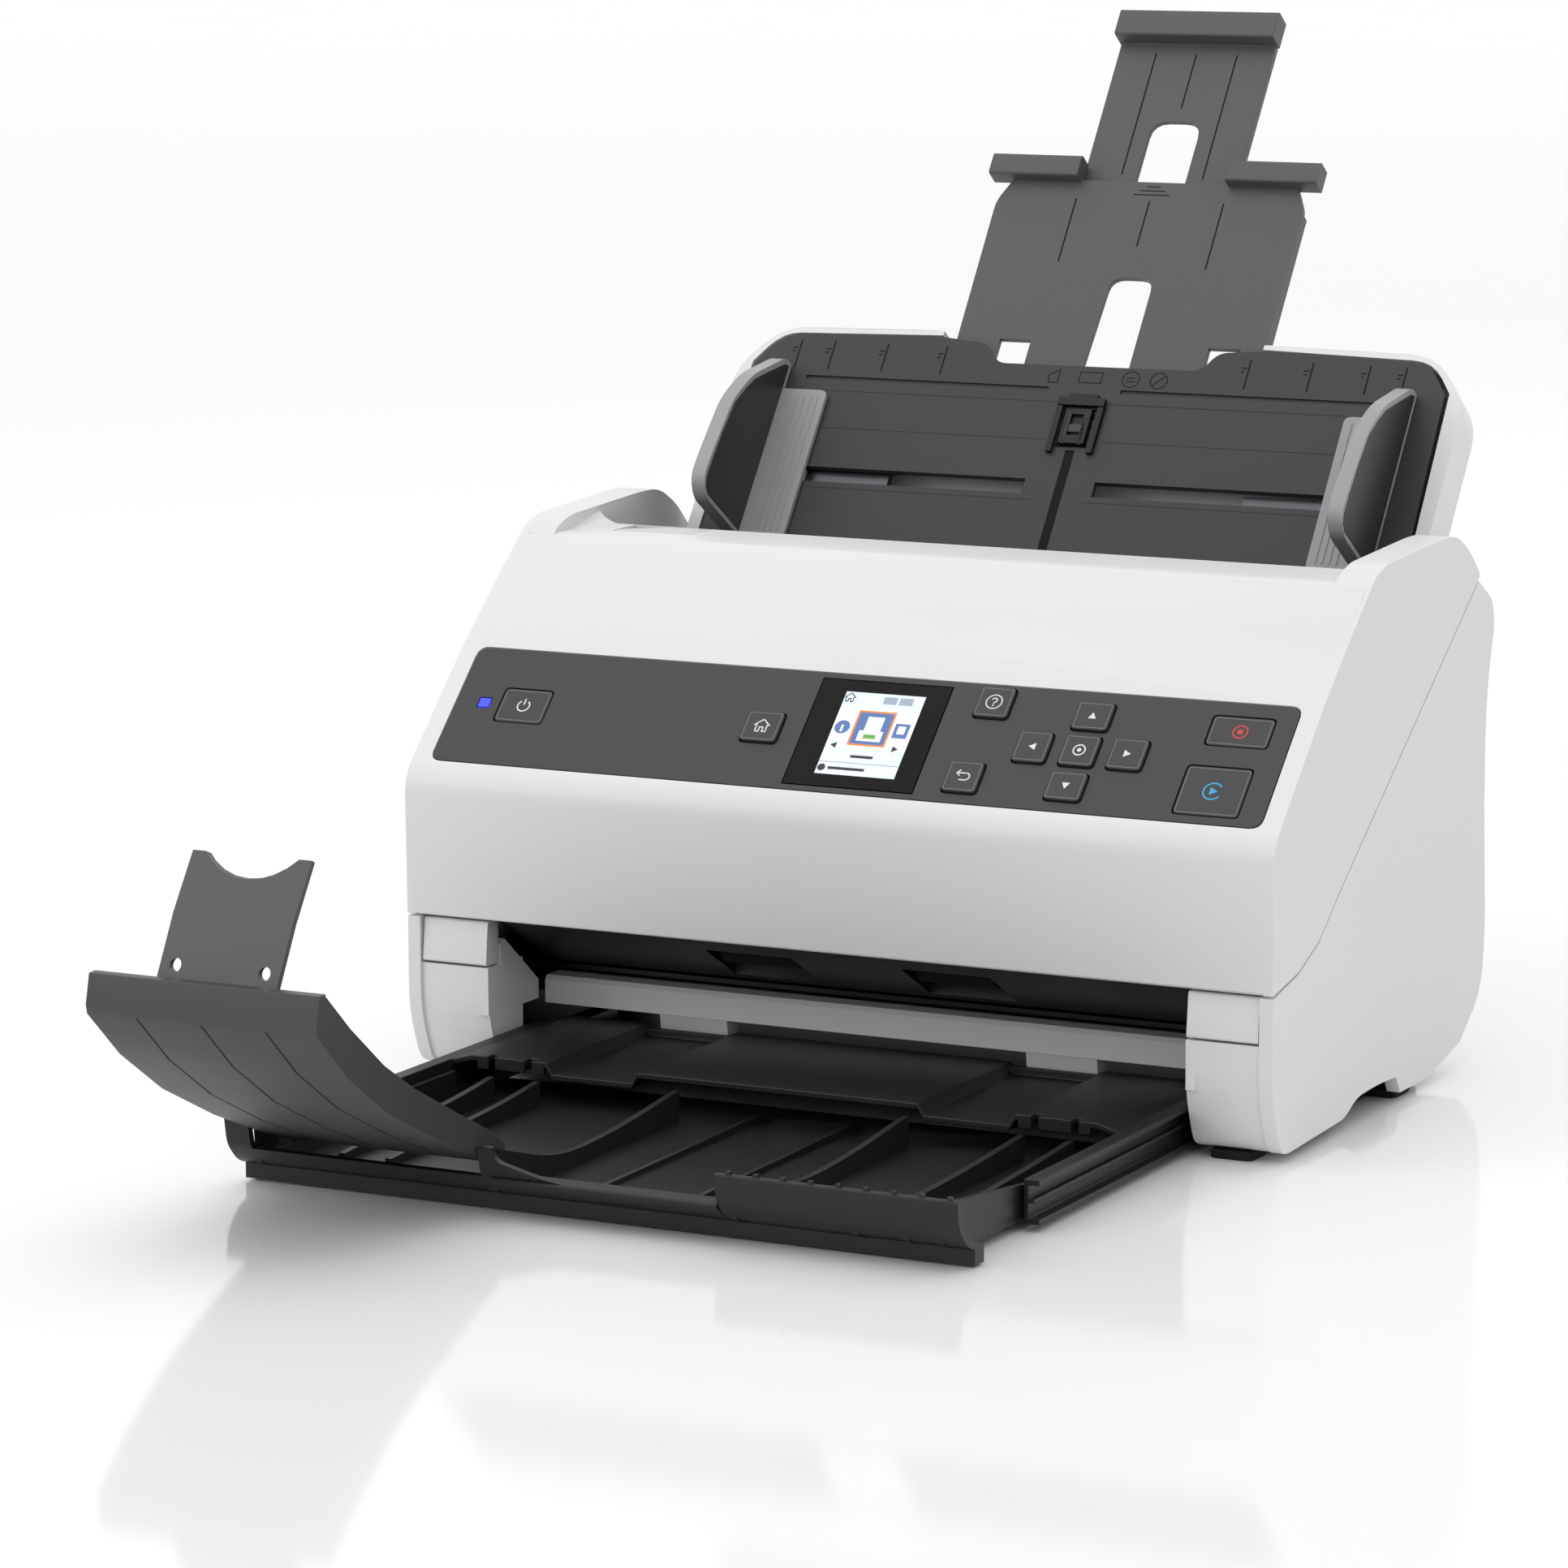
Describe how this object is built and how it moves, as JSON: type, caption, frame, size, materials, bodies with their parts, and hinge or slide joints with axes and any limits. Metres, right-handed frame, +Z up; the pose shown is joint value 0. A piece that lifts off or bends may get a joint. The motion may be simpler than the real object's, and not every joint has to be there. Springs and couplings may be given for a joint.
{
  "type": "sheet fed document scanner",
  "caption": "Upright sheet fed document scanner with a sloping key and display panel, a tilted paper tray with edge guides and pull-out supports, and pull-out output tray with folding stopper.",
  "frame": {"origin": "middle of the bounding box on the plane of the table, with the machine open ready to scan", "axes": "+X along the rollers to the right of a person facing the panel, +Y from the front to the back, +Z up"},
  "size_m": [0.296, 0.5361, 0.3305],
  "materials": {
    "white_plastic": "fine textured white moulding",
    "light_grey_plastic": "satin light grey moulding",
    "panel_grey_plastic": "fine textured dark grey moulding",
    "tray_grey_plastic": "textured charcoal moulding",
    "guide_grey_plastic": "satin mid grey moulding",
    "black_plastic": "near black moulding with a slight sheen",
    "roller_rubber": "matte rubber",
    "steel": "plain steel",
    "dark_glass": "gloss dark window",
    "blue_lens": "clear blue light pipe",
    "circuit_board": "green solder mask"
  },
  "bodies": {
    "base": {"left_side_panel": "white_plastic", "right_side_panel": "white_plastic", "left_leg_cap": "white_plastic", "right_leg_cap": "white_plastic", "foot_front_left": "roller_rubber", "foot_front_right": "roller_rubber", "foot_rear_left": "roller_rubber", "foot_rear_right": "roller_rubber", "rear_cover": "white_plastic", "base_frame": "black_plastic", "exit_sill": "light_grey_plastic", "lower_paper_guide": "black_plastic", "rear_sensor_unit": "black_plastic", "rear_sensor_glass": "dark_glass", "drive_motor": "steel", "drive_belt": "roller_rubber", "main_board": "circuit_board", "power_inlet": "black_plastic", "data_port": "steel"},
    "cover": {"front_cover": "white_plastic", "cover_paper_guide": "black_plastic", "control_bezel": "panel_grey_plastic", "display_window": "dark_glass", "display_module": "steel", "status_lens": "blue_lens", "control_board": "circuit_board", "front_sensor_unit": "black_plastic", "front_sensor_glass": "dark_glass"},
    "power_key": {"power_key": "panel_grey_plastic"},
    "home_key": {"home_key": "panel_grey_plastic"},
    "help_key": {"help_key": "panel_grey_plastic"},
    "back_key": {"back_key": "panel_grey_plastic"},
    "up_key": {"up_key": "panel_grey_plastic"},
    "left_key": {"left_key": "panel_grey_plastic"},
    "ok_key": {"ok_key": "panel_grey_plastic"},
    "right_key": {"right_key": "panel_grey_plastic"},
    "down_key": {"down_key": "panel_grey_plastic"},
    "stop_key": {"stop_key": "panel_grey_plastic"},
    "start_key": {"start_key": "panel_grey_plastic"},
    "release_lever": {"cover_release_lever": "light_grey_plastic"},
    "separation_roller": {"separation_roller": "roller_rubber"},
    "exit_pinch_roller": {"exit_pinch_roller": "roller_rubber"},
    "feed_roller": {"feed_roller": "roller_rubber", "feed_gear": "light_grey_plastic"},
    "motor_gear": {"motor_gear": "steel"},
    "exit_roller": {"exit_roller": "roller_rubber"},
    "input_tray": {"input_tray_shell": "white_plastic", "paper_support": "tray_grey_plastic"},
    "guide_left": {"edge_guide_left": "guide_grey_plastic", "guide_rack_left": "steel"},
    "guide_right": {"edge_guide_right": "guide_grey_plastic", "guide_rack_right": "steel"},
    "guide_pinion": {"guide_pinion": "steel"},
    "stack_sensor_flap": {"stack_sensor_flap": "black_plastic"},
    "tray_extension_1": {"tray_extension_1": "tray_grey_plastic"},
    "tray_extension_2": {"tray_extension_2": "tray_grey_plastic"},
    "output_tray": {"output_tray": "black_plastic"},
    "output_tray_extension": {"output_tray_extension": "black_plastic"},
    "stopper_flap": {"stopper_flap": "tray_grey_plastic"},
    "stopper_plate": {"stopper_plate": "tray_grey_plastic"}
  },
  "joints": [
    {"name": "cover_hinge", "type": "hinge", "parent": "base", "child": "cover", "pos_m": [0, -0.0259, 0.0528], "axis": [1, 0, 0], "range_deg": [0, 60]},
    {"name": "power_key_press", "type": "slide", "parent": "cover", "child": "power_key", "axis": [0, 0.6959, -0.7181], "range_m": [0, 0.0007], "stiffness_N_per_m": 600},
    {"name": "home_key_press", "type": "slide", "parent": "cover", "child": "home_key", "axis": [0, 0.6959, -0.7181], "range_m": [0, 0.0007], "stiffness_N_per_m": 600},
    {"name": "help_key_press", "type": "slide", "parent": "cover", "child": "help_key", "axis": [0, 0.6959, -0.7181], "range_m": [0, 0.0007], "stiffness_N_per_m": 600},
    {"name": "back_key_press", "type": "slide", "parent": "cover", "child": "back_key", "axis": [0, 0.6959, -0.7181], "range_m": [0, 0.0007], "stiffness_N_per_m": 600},
    {"name": "up_key_press", "type": "slide", "parent": "cover", "child": "up_key", "axis": [0, 0.6959, -0.7181], "range_m": [0, 0.0007], "stiffness_N_per_m": 600},
    {"name": "left_key_press", "type": "slide", "parent": "cover", "child": "left_key", "axis": [0, 0.6959, -0.7181], "range_m": [0, 0.0007], "stiffness_N_per_m": 600},
    {"name": "ok_key_press", "type": "slide", "parent": "cover", "child": "ok_key", "axis": [0, 0.6959, -0.7181], "range_m": [0, 0.0007], "stiffness_N_per_m": 600},
    {"name": "right_key_press", "type": "slide", "parent": "cover", "child": "right_key", "axis": [0, 0.6959, -0.7181], "range_m": [0, 0.0007], "stiffness_N_per_m": 600},
    {"name": "down_key_press", "type": "slide", "parent": "cover", "child": "down_key", "axis": [0, 0.6959, -0.7181], "range_m": [0, 0.0007], "stiffness_N_per_m": 600},
    {"name": "stop_key_press", "type": "slide", "parent": "cover", "child": "stop_key", "axis": [0, 0.6959, -0.7181], "range_m": [0, 0.0007], "stiffness_N_per_m": 600},
    {"name": "start_key_press", "type": "slide", "parent": "cover", "child": "start_key", "axis": [0, 0.6959, -0.7181], "range_m": [0, 0.0007], "stiffness_N_per_m": 600},
    {"name": "release_lever_pivot", "type": "hinge", "parent": "cover", "child": "release_lever", "pos_m": [-0.108, 0.0775, 0.1634], "axis": [1, 0, 0], "range_deg": [-10, 0]},
    {"name": "separation_roller_spin", "type": "hinge", "parent": "cover", "child": "separation_roller", "pos_m": [0, 0.0798, 0.0989], "axis": [1, 0, 0], "continuous": true},
    {"name": "exit_pinch_roller_spin", "type": "hinge", "parent": "cover", "child": "exit_pinch_roller", "pos_m": [0, 0.0001, 0.0465], "axis": [1, 0, 0], "continuous": true},
    {"name": "feed_roller_spin", "type": "hinge", "parent": "base", "child": "feed_roller", "pos_m": [0, 0.0938, 0.0887], "axis": [1, 0, 0], "continuous": true},
    {"name": "motor_gear_spin", "type": "hinge", "parent": "base", "child": "motor_gear", "pos_m": [0, 0.0981, 0.0614], "axis": [1, 0, 0], "continuous": true},
    {"name": "exit_roller_spin", "type": "hinge", "parent": "base", "child": "exit_roller", "pos_m": [0, 0.0361, 0.0286], "axis": [1, 0, 0], "continuous": true},
    {"name": "input_tray_fold", "type": "hinge", "parent": "base", "child": "input_tray", "pos_m": [0, 0.1414, 0.1549], "axis": [1, 0, 0], "range_deg": [0, 45]},
    {"name": "guide_left_slide", "type": "slide", "parent": "input_tray", "child": "guide_left", "axis": [1, 0, 0], "range_m": [0, 0.05]},
    {"name": "guide_right_slide", "type": "slide", "parent": "input_tray", "child": "guide_right", "axis": [-1, 0, 0], "range_m": [0, 0.05]},
    {"name": "guide_pinion_spin", "type": "hinge", "parent": "input_tray", "child": "guide_pinion", "pos_m": [0, 0.151, 0.1764], "axis": [0, -0.809, 0.5878], "range_deg": [-640, 0]},
    {"name": "stack_sensor_pivot", "type": "hinge", "parent": "input_tray", "child": "stack_sensor_flap", "pos_m": [0, 0.1652, 0.2007], "axis": [1, 0, 0], "range_deg": [0, 10], "stiffness_Nm_per_rad": 0.002, "springref_deg": -17.19},
    {"name": "tray_extension_1_slide", "type": "slide", "parent": "input_tray", "child": "tray_extension_1", "axis": [0, -0.5878, -0.809], "range_m": [0, 0.062]},
    {"name": "tray_extension_2_slide", "type": "slide", "parent": "tray_extension_1", "child": "tray_extension_2", "axis": [0, -0.5878, -0.809], "range_m": [0, 0.0495]},
    {"name": "output_tray_slide", "type": "slide", "parent": "base", "child": "output_tray", "axis": [0, 1, 0], "range_m": [0, 0.114]},
    {"name": "output_extension_slide", "type": "slide", "parent": "output_tray", "child": "output_tray_extension", "axis": [0, 1, 0], "range_m": [0, 0.037]},
    {"name": "stopper_flap_hinge", "type": "hinge", "parent": "output_tray_extension", "child": "stopper_flap", "pos_m": [-0.072, -0.1674, 0.015], "axis": [1, 0, 0], "range_deg": [-100, 0]},
    {"name": "stopper_plate_hinge", "type": "hinge", "parent": "stopper_flap", "child": "stopper_plate", "pos_m": [-0.072, -0.2599, 0.077], "axis": [1, 0, 0], "range_deg": [-85, 0]}
  ],
  "couplings": [
    {"joint": "guide_right_slide", "follows": "guide_left_slide", "ratio": 1},
    {"joint": "guide_pinion_spin", "follows": "guide_left_slide", "rad_per_m": -222.22},
    {"joint": "motor_gear_spin", "follows": "feed_roller_spin", "ratio": -3.1667},
    {"joint": "exit_roller_spin", "follows": "feed_roller_spin", "ratio": 1}
  ]
}
